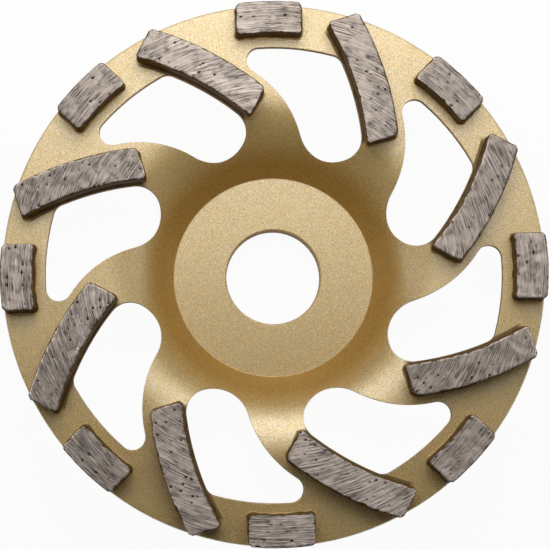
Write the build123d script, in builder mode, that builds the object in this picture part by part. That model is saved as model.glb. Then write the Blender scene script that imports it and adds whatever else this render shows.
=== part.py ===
from build123d import *
import os
from math import cos, degrees, pi, radians, sin, tan

# A 125 mm diamond cup wheel for an angle grinder, working side up.
# One turned and pierced steel body carries eight short and eight long abrasive segments.
# The origin is on the bore axis at the clamping face, and +Z points to the working side.
# Lengths are in millimetres and angles in degrees.

# Body
wheel_diameter = 125.0
bore_diameter = 22.23
hub_thickness = 5.55
hub_face_diameter = 47.0
cup_depth = 12.05
ring_thickness = 2.0
bell_slope = 49.5
bell_mouth_radius = 18.0
rim_chamfer = 0.3
bore_chamfer = 0.3

# A short segment, a long one and a window repeat round the wheel, with this much rim or more for each
pattern_spacing = 49.0

# Windows, drawn for the place just after a short segment, with insets from the rim at its middle.
# The toe and the heel take these shares of the width of the inner end.
rim_band_width = 9.8
window_outer_corner_radius = 3.0
window_toe_share = 0.375
window_heel_share = 0.606
window_end_offset = 17.0
window_end_inset = 36.2
window_end_turn = 11.5
spoke_curve_radius = 26.2
spoke_curve_offset = -18.4
spoke_curve_inset = 37.2

# Segments
segment_height = 5.0
segment_width = 7.4
segment_corner_chamfer = 0.7
short_length = 15.2
long_length = 29.8
long_inner_radius = 64.45
long_centre_inset = 12.45
long_spacing = 23.76
long_turn = 16.4
window_land = 0.55

# Derived heights and radii
rim_radius = wheel_diameter / 2
bore_radius = bore_diameter / 2
hub_face_radius = hub_face_diameter / 2
ring_face_height = hub_thickness + cup_depth
ring_back_height = ring_face_height - ring_thickness
pattern_count = int(pi * wheel_diameter / pattern_spacing)
segment_pitch = 360 / pattern_count
window_end = (window_end_offset, rim_radius - window_end_inset)
spoke_curve_centre = (spoke_curve_offset, rim_radius - spoke_curve_inset)

# The bell wall keeps the ring's thickness, so its back runs parallel to its front
wall_rise = ring_thickness / cos(radians(bell_slope))
bell_run = tan(radians(bell_slope))
bell_mouth_corner = hub_face_radius + cup_depth / bell_run
ring_back_corner = hub_face_radius + (cup_depth - ring_thickness + wall_rise) / bell_run
clamp_face_radius = hub_face_radius + (wall_rise - hub_thickness) / bell_run

# The long segment is a strip between two arcs about one centre, drawn along Y from its middle
long_centre_radius = rim_radius - long_centre_inset
long_position = degrees(long_spacing / long_centre_radius)
long_middle = Location(
    (long_centre_radius * sin(radians(long_position)), long_centre_radius * cos(radians(long_position))),
    long_turn,
)
long_arc_centre = (-long_inner_radius - segment_width / 2, 0)
short_inner_radius = rim_radius - segment_width


# The turned section, from the bore's back edge round to its front edge
section_outline = [
    (bore_radius, 0),
    (clamp_face_radius, 0),
    (ring_back_corner, ring_back_height),
    (rim_radius, ring_back_height),
    (rim_radius, ring_face_height),
    (bell_mouth_corner, ring_face_height),
    (hub_face_radius, hub_thickness),
    (bore_radius, hub_thickness),
]
section_radii = [0, 0, bell_mouth_radius - ring_thickness, 0, 0, bell_mouth_radius, 0, 0]

# One window, between the hollow side of a long segment and the spoke behind it
with BuildSketch() as window:
    Circle(rim_radius - rim_band_width)
    with Locations(long_middle):
        with Locations(long_arc_centre):
            Circle(long_inner_radius - window_land, mode=Mode.INTERSECT)
    with Locations(spoke_curve_centre):
        Circle(spoke_curve_radius, mode=Mode.SUBTRACT)
    with Locations(window_end):
        Rectangle(
            rim_radius,
            rim_radius,
            rotation=window_end_turn,
            align=(Align.CENTER, Align.MIN),
            mode=Mode.INTERSECT,
        )
    fillet(window.vertices().sort_by(Axis.Y)[-2:], window_outer_corner_radius)
    end_width = window.edges().sort_by(Axis.Y)[0].length
    fillet(window.vertices().sort_by(Axis.X)[-1], window_toe_share * end_width)
    fillet(window.vertices().sort_by(Axis.Y)[0], window_heel_share * end_width)

# Body: hub, bell and ring turned as one section, then pierced by the windows
with BuildPart() as wheel_body:
    with BuildSketch(Plane.XZ):
        with BuildLine():
            FilletPolyline(section_outline, radius=section_radii, close=True)
        make_face()
    revolve(axis=Axis.Z)
    rings = wheel_body.edges().filter_by(lambda edge: edge.is_closed).group_by(SortBy.RADIUS)
    chamfer(rings[0], bore_chamfer)
    chamfer(rings[-1].sort_by(Axis.Z)[-1], rim_chamfer)
    with BuildSketch(Plane.XY.offset(ring_face_height / 2)):
        with PolarLocations(0, pattern_count):
            add(window.sketch)
    extrude(amount=ring_face_height, both=True, mode=Mode.SUBTRACT)

with BuildSketch() as short_outline:
    Circle(rim_radius)
    Circle(short_inner_radius, mode=Mode.SUBTRACT)
    with Locations((0, rim_radius)):
        Rectangle(short_length, rim_radius, mode=Mode.INTERSECT)
    chamfer(short_outline.vertices(), segment_corner_chamfer)

with BuildSketch() as long_outline:
    with Locations(long_middle):
        with Locations(long_arc_centre):
            Circle(long_inner_radius + segment_width)
            Circle(long_inner_radius, mode=Mode.SUBTRACT)
        Rectangle(2 * segment_width, long_length, mode=Mode.INTERSECT)
    chamfer(long_outline.vertices(), segment_corner_chamfer)


# A short segment stands on the flat of the ring
def make_short_segment(turn):
    with BuildPart() as segment:
        with BuildSketch(Plane.XY.offset(ring_face_height).rotated((0, 0, turn))):
            add(short_outline.sketch)
        extrude(amount=segment_height)
    return segment.part


# A long segment reaches in past the flat, so its foot follows the mouth of the bell
def make_long_segment(turn):
    with BuildPart() as segment:
        with BuildSketch(Plane.XY.offset(ring_face_height).rotated((0, 0, turn))):
            add(long_outline.sketch)
        extrude(amount=segment_height)
        with BuildSketch(Plane.XY.offset(ring_face_height).rotated((0, 0, turn))):
            add(long_outline.sketch)
            Circle(rim_radius - rim_band_width, mode=Mode.INTERSECT)
        extrude(amount=-ring_thickness)
        add(wheel_body.part, mode=Mode.SUBTRACT)
    return segment.part


os.makedirs("parts", exist_ok=True)
wheel_body.part.label = "wheel_body"
export_step(wheel_body.part, "parts/wheel_body.step")
for index in range(pattern_count):
    turn = -index * segment_pitch
    short_segment = make_short_segment(turn)
    short_segment.label = f"short_segment_{index + 1}"
    export_step(short_segment, f"parts/{short_segment.label}.step")
    long_segment = make_long_segment(turn)
    long_segment.label = f"long_segment_{index + 1}"
    export_step(long_segment, f"parts/{long_segment.label}.step")
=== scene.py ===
import bpy
import math
from mathutils import Matrix, Vector, kdtree, noise


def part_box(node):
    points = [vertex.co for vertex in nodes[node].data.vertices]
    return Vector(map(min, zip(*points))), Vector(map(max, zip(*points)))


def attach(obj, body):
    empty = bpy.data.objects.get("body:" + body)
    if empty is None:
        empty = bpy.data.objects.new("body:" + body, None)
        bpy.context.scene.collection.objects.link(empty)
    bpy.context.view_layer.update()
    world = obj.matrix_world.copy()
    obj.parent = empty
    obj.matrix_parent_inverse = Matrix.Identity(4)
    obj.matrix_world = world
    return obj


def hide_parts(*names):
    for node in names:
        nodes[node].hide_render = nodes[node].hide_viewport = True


# Diamond cup wheel, working side up, lying on its hub under one large soft lamp

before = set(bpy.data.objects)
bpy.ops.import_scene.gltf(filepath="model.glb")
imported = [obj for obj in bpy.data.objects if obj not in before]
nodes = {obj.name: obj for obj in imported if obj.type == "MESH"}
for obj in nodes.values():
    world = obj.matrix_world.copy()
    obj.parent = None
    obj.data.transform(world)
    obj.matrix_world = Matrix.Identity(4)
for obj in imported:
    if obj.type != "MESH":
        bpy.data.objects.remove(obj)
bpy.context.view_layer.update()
mm = 0.001
scene = bpy.context.scene
scene.view_settings.view_transform = "Standard"
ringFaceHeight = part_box("wheel_body")[1].z
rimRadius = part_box("wheel_body")[1].x
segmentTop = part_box("short_segment_1")[1].z
print("frame loaded:", len(nodes), "pieces")


class Wire:
    # one shader socket; sums and products of wires add their Math nodes
    def __init__(self, tree, socket=None):
        self.tree = tree
        self.socket = socket

    def node(self, kind, settings=None, inputs=None, output=0):
        # a new node in the same tree, as the wire of one of its outputs
        made = self.tree.nodes.new("ShaderNode" + kind)
        for name, value in (settings or {}).items():
            setattr(made, name, value)
        for name, value in (inputs or {}).items():
            if isinstance(value, Wire):
                self.tree.links.new(value.socket, made.inputs[name])
            else:
                made.inputs[name].default_value = value
        return Wire(self.tree, made.outputs[output])

    def feed(self, target, name):
        self.tree.links.new(self.socket, target.inputs[name])

    def maths(self, operation, *values):
        return self.node("Math", {"operation": operation}, dict(enumerate(values)))

    def __add__(self, other):
        return self.maths("ADD", self, other)

    def __sub__(self, other):
        return self.maths("SUBTRACT", self, other)

    def __rsub__(self, other):
        return self.maths("SUBTRACT", other, self)

    def __mul__(self, other):
        return self.maths("MULTIPLY", self, other)

    def __truediv__(self, other):
        return self.maths("DIVIDE", self, other)

    def __abs__(self):
        return self.maths("ABSOLUTE", self)

    __radd__ = __add__
    __rmul__ = __mul__

    def fade(self, start, end):
        # 0 at start and 1 at end, smooth between
        settings = {"interpolation_type": "SMOOTHSTEP"}
        return self.node("MapRange", settings, {"Value": self, "From Min": start, "From Max": end})

    def band(self, riseStart, riseEnd, fallStart, fallEnd):
        # 1 inside, 0 on either side
        return self.fade(riseStart, riseEnd) * (1 - self.fade(fallStart, fallEnd))

    def blend(self, first, second):
        # the first colour where this is 0, the second where it is 1
        settings = {"data_type": "RGBA"}
        return self.node("Mix", settings, {0: self, 6: first, 7: second}, 2)

    def tint(self, colour, tintColour):
        # the colour where this is 0, the colour times the tint where it is 1
        settings = {"data_type": "RGBA", "blend_type": "MULTIPLY"}
        return self.node("Mix", settings, {0: self, 6: colour, 7: tintColour}, 2)

    def coordinate(self, index):
        return self.node("SeparateXYZ", None, {"Vector": self}, index)

    def speckle(self, size, detail, roughness=0.5):
        # noise over the place that this wire gives
        inputs = {"Vector": self, "Scale": 1 / size, "Detail": detail, "Roughness": roughness}
        return self.node("TexNoise", None, inputs)


def flatLength(across, up):
    return across.maths("SQRT", across * across + up * up)


def newMaterial(name):
    material = bpy.data.materials.new(name)
    material.use_nodes = True
    tree = material.node_tree
    return material, Wire(tree), tree.nodes["Principled BSDF"]


# Camera, from the perspective of the photograph
cameraView = {
    "distance": 429 * mm,        # to the plane of the ring's face
    "leanX": -4.64,              # degrees
    "leanY": 1.67,
    "roll": 1.48,
    "offset": (-0.04 * mm, 0.33 * mm, 0),
    "focalLength": 122.04,
    "sensorWidth": 36,
}


def addCamera(settings):
    turn = (
        Matrix.Rotation(math.radians(settings["leanX"]), 3, "X")
        @ Matrix.Rotation(math.radians(settings["leanY"]), 3, "Y")
        @ Matrix.Rotation(math.radians(settings["roll"]), 3, "Z")
    ).transposed()
    ringFace = Vector((0, 0, ringFaceHeight))
    away = Vector((0, 0, settings["distance"])) - Vector(settings["offset"])
    camera = bpy.data.objects.new("camera", bpy.data.cameras.new("camera"))
    scene.collection.objects.link(camera)
    camera.data.lens = settings["focalLength"]
    camera.data.sensor_width = settings["sensorWidth"]
    camera.matrix_world = turn.to_4x4()
    camera.location = ringFace + turn @ away
    scene.camera = camera


addCamera(cameraView)
print("camera set")

# Light: a broad flat lamp low over the wheel's far half and brighter in its middle,
# a low panel on each side and a dim even sky, in metres, degrees and watts
lampSettings = {
    "softbox": {"place": (0, 0.225, 0.24), "turn": 0, "size": (0.32, 0.40), "power": 0.67},
    "softboxMiddle": {"place": (0, 0.22, 0.239), "turn": 0, "size": (0.19, 0.19), "power": 0.17},
    "leftPanel": {"place": (-0.29, 0.0, 0.17), "turn": 62, "size": (0.20, 0.13), "power": 0.08},
    "rightPanel": {"place": (0.29, 0.0, 0.17), "turn": -62, "size": (0.20, 0.13), "power": 0.08},
}
skyStrength = 0.05


def addLamp(name, settings):
    lamp = bpy.data.objects.new(name, bpy.data.lights.new(name, "AREA"))
    scene.collection.objects.link(lamp)
    lamp.data.shape = "RECTANGLE"
    lamp.data.size, lamp.data.size_y = settings["size"]
    lamp.data.energy = settings["power"]
    lamp.location = settings["place"]
    lamp.rotation_euler.y = -math.radians(settings["turn"])
    lamp.visible_camera = False


def addSky(strength):
    world = bpy.data.worlds.new("sky")
    world.use_nodes = True
    background = world.node_tree.nodes["Background"]
    background.inputs["Color"].default_value = (1, 1, 1, 1)
    background.inputs["Strength"].default_value = strength
    scene.world = world


for name, settings in lampSettings.items():
    addLamp(name, settings)
addSky(skyStrength)

# Floor: white paper that keeps a faint shadow
floorSettings = {
    "size": 3.0,
    "colour": (0.9, 0.9, 0.9, 1),
    "roughness": 1,
    "shadowShare": 0.05,         # the rest is seen as plain white
}


def addFloor(settings):
    bpy.ops.object.select_all(action="DESELECT")
    bpy.ops.mesh.primitive_plane_add(size=settings["size"], location=(0, 0, 0))
    floor = bpy.context.active_object
    floor.name = "floor"
    material, sheet, shader = newMaterial("floorPaper")
    shader.inputs["Base Color"].default_value = settings["colour"]
    shader.inputs["Roughness"].default_value = settings["roughness"]
    seen = sheet.node("LightPath", output="Is Camera Ray") + sheet.node("LightPath", output="Is Glossy Ray")
    seen = seen + sheet.node("LightPath", output="Is Transmission Ray")
    share = seen * (1 - settings["shadowShare"])
    paper = Wire(sheet.tree, shader.outputs[0])
    glow = sheet.node("Emission", None, {"Color": (1, 1, 1, 1), "Strength": 1})
    mixed = sheet.node("MixShader", None, {0: share, 1: paper, 2: glow})
    mixed.feed(sheet.tree.nodes["Material Output"], "Surface")
    floor.data.materials.append(material)


addFloor(floorSettings)
print("light and floor set")

# Gold paint: deep and bright gold with pale, smoother and more metallic flakes
paintSettings = {
    "paleColour": (0.86, 0.93, 0.93, 1),
    "goldColour": (0.97, 0.62, 0.11, 1),
    "deepTint": (0.66, 0.60, 0.50, 1),
    "paleSize": 0.06 * mm,
    "paleDetail": 1,
    "paleRange": (0.42, 0.67),       # noise from plain gold to all pale
    "flakeSize": 0.19 * mm,
    "flakeDetail": 2,
    "goldRange": (0.38, 0.60),       # noise from deep to bright gold
    "noiseTurn": (0.6, 0.4, 0.2),    # so that no flat face lies along the noise's own lattice
    "paleRoughness": 0.28,
    "goldRoughness": 0.48,
    "goldMetallic": 0.2,
    "specular": 0.2,
    "grain": 0.04 * mm,
    "edgeRound": 0.25 * mm,
    "edgeSamples": 4,
    "valleyShade": (23.45 * mm, 23.7 * mm, 26.5 * mm, 31.5 * mm),    # painted shade, a darker ring in the valley beside the hub
    "valleyShadeTint": (0.74, 0.63, 0.45, 1),
}

# The narrow land between a long segment's hollow side and the window is coloured dark
landSettings = {
    "count": 8,
    "arcCentre": (-42.50 * mm, 25.27 * mm),    # of the first long segment's hollow side
    "arc": (63.3 * mm, 63.6 * mm, 64.5 * mm, 64.9 * mm),    # radii where the dark begins and ends
    "halfLength": (13.0 * mm, 14.4 * mm),      # where it fades at its ends
    "lean": 16.4,                              # degrees
    "middle": 27.2,                            # degrees clockwise from a short segment's middle
    "colour": (0.16, 0.10, 0.03, 1),
    "share": 0.85,
}

# The cut walls took thin paint over dark steel
edgeSettings = {
    "steepness": 0.1,            # greatest upward share of a wall's normal
    "colour": (0.42, 0.25, 0.06, 1),
    "darkColour": (0.20, 0.12, 0.035, 1),
    "stainSize": 0.7 * mm,
    "stainDetail": 3,
    "stainRange": (0.35, 0.65),
    "grain": 0.05 * mm,
    "roughness": 0.6,
    "specular": 0.2,
}


def layPaint(place, settings):
    place = place.node("Mapping", None, {"Vector": place, "Rotation": settings["noiseTurn"]})
    pale = place.speckle(settings["paleSize"], settings["paleDetail"]).fade(*settings["paleRange"])
    flakes = place.speckle(settings["flakeSize"], settings["flakeDetail"])
    deep = 1 - flakes.fade(*settings["goldRange"])
    colour = pale.blend(settings["goldColour"], settings["paleColour"])
    smoother = settings["paleRoughness"] - settings["goldRoughness"]
    return {
        "colour": deep.tint(colour, settings["deepTint"]),
        "metallic": settings["goldMetallic"] + pale * (1 - settings["goldMetallic"]),
        "roughness": settings["goldRoughness"] + pale * smoother,
        "height": flakes * settings["grain"],
    }


def besideWindow(place, settings):
    # 1 on the land; every place is turned back to the first long segment
    pitch = 2 * math.pi / settings["count"]
    angle = place.maths("ARCTAN2", place.coordinate(0), place.coordinate(1))
    steps = place.maths("ROUND", (angle - math.radians(settings["middle"])) / pitch)
    angle = angle - steps * pitch
    radius = flatLength(place.coordinate(0), place.coordinate(1))
    across = radius * place.maths("SINE", angle) - settings["arcCentre"][0]
    up = radius * place.maths("COSINE", angle) - settings["arcCentre"][1]
    lean = math.radians(settings["lean"])
    along = up * math.cos(lean) - across * math.sin(lean)
    strip = flatLength(across, up).band(*settings["arc"])
    return strip * (1 - abs(along).fade(*settings["halfLength"]))


def join(coat, relief, shader):
    coat["colour"].feed(shader, "Base Color")
    coat["metallic"].feed(shader, "Metallic")
    coat["roughness"].feed(shader, "Roughness")
    relief.feed(shader, "Normal")


def makeGoldPaint(settings):
    material, sheet, shader = newMaterial("goldPaint")
    place = sheet.node("TexCoord", output="Object")
    paint = layPaint(place, settings)
    # painted shade darkens the paint in the valley beside the hub
    valleyShade = flatLength(place.coordinate(0), place.coordinate(1)).band(*settings["valleyShade"])
    land = besideWindow(place, landSettings) * landSettings["share"]
    colour = valleyShade.tint(paint["colour"], settings["valleyShadeTint"])
    paint["colour"] = land.blend(colour, landSettings["colour"])
    paint["metallic"] = paint["metallic"] * (1 - land)
    edges = sheet.node("Bevel", {"samples": settings["edgeSamples"]}, {"Radius": settings["edgeRound"]})
    relief = sheet.node("Bump", None, {"Height": paint["height"], "Distance": 1, "Normal": edges})
    join(paint, relief, shader)
    shader.inputs["Specular IOR Level"].default_value = settings["specular"]
    return material


def makeEdgePaint(settings):
    material, sheet, shader = newMaterial("edgePaint")
    place = sheet.node("TexCoord", output="Object")
    stains = place.speckle(settings["stainSize"], settings["stainDetail"])
    colour = stains.fade(*settings["stainRange"]).blend(settings["darkColour"], settings["colour"])
    relief = sheet.node("Bump", None, {"Height": stains * settings["grain"], "Distance": 1})
    colour.feed(shader, "Base Color")
    relief.feed(shader, "Normal")
    shader.inputs["Roughness"].default_value = settings["roughness"]
    shader.inputs["Specular IOR Level"].default_value = settings["specular"]
    return material


def paintBody(body):
    body.materials.clear()
    body.materials.append(makeGoldPaint(paintSettings))
    body.materials.append(makeEdgePaint(edgeSettings))
    for face in body.polygons:
        if abs(face.normal.z) < edgeSettings["steepness"]:
            face.material_index = 1


paintBody(nodes["wheel_body"].data)
print("body painted")

# Segment metal: a ground top with grooves round the axis and pits, and painted sides
groundSettings = {
    # colour of the painted glints
    "paintedGlintColour": (1.0, 0.92, 0.84, 1),
    "colour": (0.92, 0.785, 0.69, 1),
    "darkColour": (0.42, 0.345, 0.29, 1),
    "lineColour": (0.06, 0.045, 0.035, 1),
    "metallic": 0.9,
    "roughness": 0.41,
    "anisotropy": 1,
    "anisotropyTurn": 0.25,      # of a full turn: the sheen spreads across the grooves
    "specular": 0.1,             # of the sides, which are not bare metal
    "seam": 10,                  # degrees clockwise from a short segment's middle, clear of all segments
    "trueRadius": 57 * mm,       # where lengths round the axis are true
    "coarse": (0.45 * mm, 13 * mm),      # width and length of the streaks
    "coarseDetail": 3,
    "coarseShare": 0.75,         # of the relief, the fine streaks have the rest
    "fine": (0.16 * mm, 8 * mm),
    "fineDetail": 2,
    "streakRoughness": 0.6,
    "streakRange": (0.35, 0.6),          # noise from dark to light
    "grooveRelief": 0.48 * mm,
    "waver": 0.3 * mm,           # how far the streaks stray from a circle
    "waverSize": 5 * mm,
    "waverDetail": 1,
    "blotchSize": 2 * mm,
    "blotchDetail": 3,
    "blotchRange": (0.35, 0.55),
    "shadeShares": (0.35, 0.4, 0.25),    # of the coarse streaks, the fine ones and the blotches
    "patchSize": 3.846 * mm,
    "patchDetail": 2,
    "patchRange": (0.38, 0.55),          # noise from no dark lines to all of them
    "lineWidth": 0.06,           # of the coarse noise, on each side of its middle
    "lineShare": 0.85,
    "paintedGlintRange": (0.56, 0.68),          # fine noise under a painted glint
    "paintedGlintShare": 0.7,
    "topEdge": (0.09 * mm, 0.04 * mm),   # depths between which the bare metal begins
    "topWaver": 0.1 * mm,
}
pitSettings = {
    "colour": (0.03, 0.022, 0.018, 1),
    "pitch": (1.7 * mm, 2.8 * mm),       # across the grooves and along them
    "scatter": 0.85,
    "chance": (0.5, 0.95),               # a cell's chance, from no pit to a full one
    "smallest": 0.5,                     # added to the chance, gives a pit's relative size
    "stretch": 0.5,                      # below 1, a pit is longer along the grooves
    "edge": (0.088 * mm, 0.264 * mm),    # radii between which a pit ends
    "depth": 0.10 * mm,
    "tail": (0, 0.1 * mm, 0.39 * mm, 1.3 * mm),    # distances where it begins and ends
    "tailWidth": (0.05 * mm, 0.2 * mm),
    "tailShare": 0.45,
    "tailDepth": 0.05 * mm,
}
sideSettings = {
    "colour": (0.21, 0.115, 0.025, 1),
    "darkColour": (0.11, 0.062, 0.016, 1),
    "range": (0.3, 0.7),                 # noise from the dark colour to the other
    "footTop": (0.15 * mm, 0.55 * mm),   # heights over the ring between which the paint ends
    "splash": 1.2 * mm,                  # how unevenly the paint climbs the sides
}


def polarPlace(place, settings):
    # radius and length round the axis, growing clockwise
    turn = (0, 0, math.radians(settings["seam"] + 180))
    turned = place.node("Mapping", None, {"Vector": place, "Rotation": turn})
    across = turned.coordinate(0)
    up = turned.coordinate(1)
    return flatLength(across, up), place.maths("ARCTAN2", across, up) * settings["trueRadius"]


def stretched(radius, around, size):
    inputs = {"X": radius * (1 / size[0]), "Y": around * (1 / size[1])}
    return radius.node("CombineXYZ", None, inputs)


def makePits(radius, around, settings):
    # scattered dark pits, each with a tail dragged out clockwise
    place = stretched(radius, around, settings["pitch"])
    cells = {"Vector": place, "Scale": 1, "Randomness": settings["scatter"]}
    spot = place.node("TexVoronoi", {"voronoi_dimensions": "2D"}, cells, "Position")
    colour = place.node("TexVoronoi", {"voronoi_dimensions": "2D"}, cells, "Color")
    chance = place.node("SeparateColor", None, {"Color": colour}, 0)
    away = place.node("VectorMath", {"operation": "SUBTRACT"}, {0: place, 1: spot})
    awayOut = away.coordinate(0) * settings["pitch"][0]
    awayRound = away.coordinate(1) * settings["pitch"][1]
    squares = awayOut * awayOut + awayRound * awayRound * settings["stretch"]
    distance = place.maths("SQRT", squares) / (settings["smallest"] + chance)
    present = chance.fade(*settings["chance"])
    pits = (1 - distance.fade(*settings["edge"])) * present
    tails = awayRound.band(*settings["tail"]) * (1 - abs(awayOut).fade(*settings["tailWidth"])) * present
    return pits, tails


def makeStreaks(place, radius, around, settings):
    # coarse and fine streaks along the grooves
    waver = place.speckle(settings["waverSize"], settings["waverDetail"]) - 0.5
    wavering = radius + waver * settings["waver"]
    roughness = settings["streakRoughness"]
    coarse = stretched(wavering, around, settings["coarse"]).speckle(1, settings["coarseDetail"], roughness)
    fine = stretched(wavering, around, settings["fine"]).speckle(1, settings["fineDetail"], roughness)
    return coarse, fine


def colourGround(coarse, fine, blotches, patches, settings):
    # streaky metal with painted glints, and with dark lines in patches
    shares = settings["shadeShares"]
    shade = coarse.fade(*settings["streakRange"]) * shares[0]
    shade = shade + fine.fade(*settings["streakRange"]) * shares[1]
    shade = shade + blotches.fade(*settings["blotchRange"]) * shares[2]
    metal = shade.blend(settings["darkColour"], settings["colour"])
    # painted highlight: glints lightened into the metal's colour
    paintedGlints = fine.fade(*settings["paintedGlintRange"]) * settings["paintedGlintShare"]
    metal = paintedGlints.blend(metal, settings["paintedGlintColour"])
    lines = (1 - abs(coarse - 0.5).fade(0, settings["lineWidth"])) * patches.fade(*settings["patchRange"])
    return (lines * settings["lineShare"]).blend(metal, settings["lineColour"])


def makeSegmentMetal(settings):
    material, sheet, shader = newMaterial("segmentMetal")
    place = sheet.node("TexCoord", output="Object")
    height = place.coordinate(2)
    paint = layPaint(place, paintSettings)
    radius, around = polarPlace(place, settings)
    pits, tails = makePits(radius, around, pitSettings)
    coarse, fine = makeStreaks(place, radius, around, settings)
    blotches = place.speckle(settings["blotchSize"], settings["blotchDetail"])
    patches = place.speckle(settings["patchSize"], settings["patchDetail"])

    # the ground top
    metal = colourGround(coarse, fine, blotches, patches, settings)
    metal = (tails * pitSettings["tailShare"]).blend(metal, pitSettings["colour"])
    metal = pits.blend(metal, pitSettings["colour"])
    grooves = coarse * settings["coarseShare"] + fine * (1 - settings["coarseShare"])
    ground = grooves * settings["grooveRelief"]
    ground = ground - pits * pitSettings["depth"] - tails * pitSettings["tailDepth"]
    topEdge = [segmentTop - depth for depth in settings["topEdge"]]
    bare = (height + (blotches - 0.5) * settings["topWaver"]).fade(*topEdge)

    # the sides: bond above, gold paint on the foot
    splash = height + (patches - 0.5) * sideSettings["splash"]
    wall = splash.fade(*[ringFaceHeight + lift for lift in sideSettings["footTop"]])
    wall = wall.maths("MAXIMUM", wall, besideWindow(place, landSettings))
    bond = blotches.fade(*sideSettings["range"]).blend(sideSettings["darkColour"], sideSettings["colour"])
    sideMetallic = paint["metallic"] * (1 - wall)
    coat = {
        "colour": bare.blend(wall.blend(paint["colour"], bond), metal),
        "metallic": sideMetallic + bare * ((1 - pits) * settings["metallic"] - sideMetallic),
        "roughness": paint["roughness"] + bare * (settings["roughness"] - paint["roughness"]),
    }
    surface = paint["height"] + bare * (ground - paint["height"])
    relief = sheet.node("Bump", None, {"Height": surface, "Distance": 1})
    join(coat, relief, shader)
    shader.inputs["Anisotropic"].default_value = settings["anisotropy"]
    shader.inputs["Anisotropic Rotation"].default_value = settings["anisotropyTurn"]
    shader.inputs["Specular IOR Level"].default_value = settings["specular"]
    return material


segmentMetal = makeSegmentMetal(groundSettings)
print("segment metal made")

# Segments: a sintered block with worn edges, on a foot of braze
segmentSettings = {
    "mergeDistance": 0.001 * mm,
    "voxel": 0.22 * mm,
    "smoothing": 1,
    "smoothShare": 0.5,
    "wallSlope": 0.3,            # greatest upward share of a side's normal
    "wallBand": (0.5 * mm, 1.5 * mm),    # depths between which the sides give the outline
    "waviness": 0.07 * mm,
    "waveLength": 2.2 * mm,
    "chipReach": 0.5 * mm,       # in from the edge
    "chipFalloff": 1.5,          # power by which a chip grows towards the edge
    "chipDepth": 0.30 * mm,
    "chipLength": 1.3 * mm,
    "chipStart": 0.14,           # noise above which the edge is broken
    "chipGain": 2.4,
    "gritLength": 0.35 * mm,     # of the small unevenness within a chip
    "gritShare": 0.25,
    "footHeight": 1.1 * mm,
    "footCurve": 3,              # power by which the foot widens downwards
    "footSpread": 0.6 * mm,
    "footUneven": 0.6,
    "footLength": 1.6 * mm,      # of the foot's unevenness
    "sink": 0.12 * mm,           # how deep the foot sits in the wheel body
    "sinkHeight": 0.3 * mm,
    "mouthRadius": 18 * mm,      # of the bell's mouth, seen in section
    "mouthStart": 42.1 * mm,     # where the ring's flat ends
    "rimGap": 0.1 * mm,          # kept between the foot and the rim
}


def surfaceHeight(radius, settings):
    # front of the wheel body under a segment
    fall = max(settings["mouthStart"] - radius, 0)
    return ringFaceHeight - settings["mouthRadius"] + math.sqrt(settings["mouthRadius"] ** 2 - fall ** 2)


def roughBlock(node, settings):
    # the CAD block as an even skin of small faces
    bpy.ops.object.select_all(action="DESELECT")
    block = bpy.data.objects.new("block", nodes[node].data.copy())
    scene.collection.objects.link(block)
    block.select_set(True)
    bpy.context.view_layer.objects.active = block
    bpy.ops.object.mode_set(mode="EDIT")
    bpy.ops.mesh.select_all(action="SELECT")
    bpy.ops.mesh.remove_doubles(threshold=settings["mergeDistance"])
    bpy.ops.object.mode_set(mode="OBJECT")
    bpy.ops.mesh.customdata_custom_splitnormals_clear()
    skin = block.modifiers.new("skin", "REMESH")
    skin.mode = "VOXEL"
    skin.voxel_size = settings["voxel"]
    bpy.ops.object.modifier_apply(modifier="skin")
    soften = block.modifiers.new("soften", "SMOOTH")
    soften.factor = settings["smoothShare"]
    soften.iterations = settings["smoothing"]
    bpy.ops.object.modifier_apply(modifier="soften")
    bpy.ops.object.shade_smooth()
    return block


def edgeDistances(mesh, settings):
    # distance of each vertex near the top from the edge round it, or else its depth
    upper, lower = settings["wallBand"]
    walls = []
    for vertex in mesh.vertices:
        if abs(vertex.normal.z) < settings["wallSlope"] and upper < segmentTop - vertex.co.z < lower:
            walls.append(vertex.co)
    outline = kdtree.KDTree(len(walls))
    for index, place in enumerate(walls):
        outline.insert((place.x, place.y, 0), index)
    outline.balance()
    found = []
    for vertex in mesh.vertices:
        depth = segmentTop - vertex.co.z
        if depth > settings["chipReach"]:
            found.append(depth)
        else:
            across = outline.find((vertex.co.x, vertex.co.y, 0))[2]
            found.append(math.hypot(across, depth))
    return found


def chip(spot, distance, settings):
    # how far the edge is broken back here
    flake = noise.noise(Vector((spot.x, spot.y, 0)) * (1 / settings["chipLength"]))
    grit = noise.noise(spot * (1 / settings["gritLength"]))
    share = max(0, flake + settings["gritShare"] * grit - settings["chipStart"]) * settings["chipGain"]
    reach = (1 - distance / settings["chipReach"]) ** settings["chipFalloff"]
    return settings["chipDepth"] * min(share, 1) * reach


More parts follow.
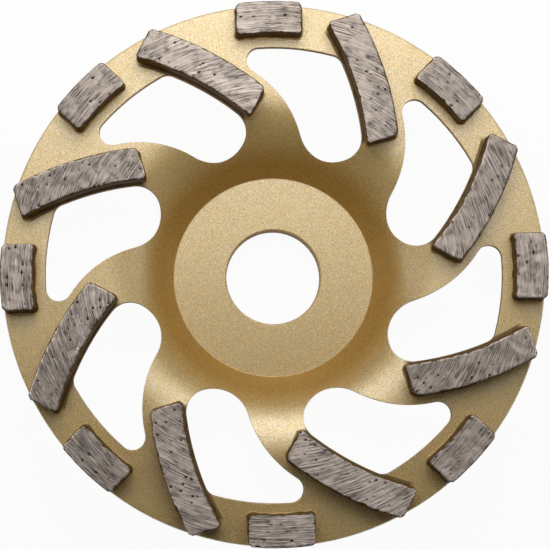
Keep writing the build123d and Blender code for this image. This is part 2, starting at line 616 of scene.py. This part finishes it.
def footMove(spot, normal, move, lift, settings):
    # spreads the foot, and lays it on the wheel body
    radius = math.hypot(spot.x, spot.y)
    above = max(lift, 0)
    share = max(0, 1 - above / settings["footHeight"]) ** settings["footCurve"]
    uneven = 1 + settings["footUneven"] * noise.noise(spot * (1 / settings["footLength"]))
    move += Vector((normal.x, normal.y, 0)) * (settings["footSpread"] * share * uneven)
    after = spot + move
    afterRadius = math.hypot(after.x, after.y)
    limit = rimRadius - settings["rimGap"]
    if afterRadius > limit:
        move += Vector((after.x, after.y, 0)) * (limit / afterRadius - 1)
        afterRadius = limit
    move.z += surfaceHeight(afterRadius, settings) - surfaceHeight(radius, settings)
    move.z -= settings["sink"] * max(0, 1 - above / settings["sinkHeight"])
    return move


def wear(mesh, distances, settings):
    # uneven sides, chips along the top edge and a spreading foot
    normals = [vertex.normal.copy() for vertex in mesh.vertices]
    for vertex, normal, distance in zip(mesh.vertices, normals, distances):
        spot = vertex.co
        wave = noise.noise(spot * (1 / settings["waveLength"]))
        move = normal * (settings["waviness"] * wave)
        if distance < settings["chipReach"]:
            move -= normal * chip(spot, distance, settings)
        lift = spot.z - surfaceHeight(math.hypot(spot.x, spot.y), settings)
        if lift < settings["footHeight"]:
            move = footMove(spot, normal, move, lift, settings)
        vertex.co = spot + move
        # nothing stands past the ground top or the rim
        vertex.co.z = min(vertex.co.z, segmentTop)
        beyond = math.hypot(vertex.co.x, vertex.co.y) / rimRadius
        if beyond > 1:
            vertex.co.x /= beyond
            vertex.co.y /= beyond
    mesh.update()


def makeSegments(kind, settings):
    block = roughBlock(kind + "_segment_1", settings)
    distances = edgeDistances(block.data, settings)
    count = sum(1 for name in nodes if name.startswith(kind))
    for index in range(count):
        piece = bpy.data.objects.new("%sSegment%d" % (kind, index + 1), block.data.copy())
        scene.collection.objects.link(piece)
        piece.data.transform(Matrix.Rotation(-index * 2 * math.pi / count, 4, "Z"))
        piece.data.update()
        wear(piece.data, distances, settings)
        # the shader's default tangent runs round the middle of the texture space, here the axis
        piece.data.use_auto_texspace = False
        piece.data.texspace_location = (0, 0, 0)
        piece.data.texspace_size = (rimRadius, rimRadius, rimRadius)
        piece.data.materials.clear()
        piece.data.materials.append(segmentMetal)
        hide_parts("%s_segment_%d" % (kind, index + 1))
        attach(piece, "root")
    bpy.data.objects.remove(block)
    print(kind, "segments made:", count, "of", len(distances), "points")


makeSegments("short", segmentSettings)
makeSegments("long", segmentSettings)
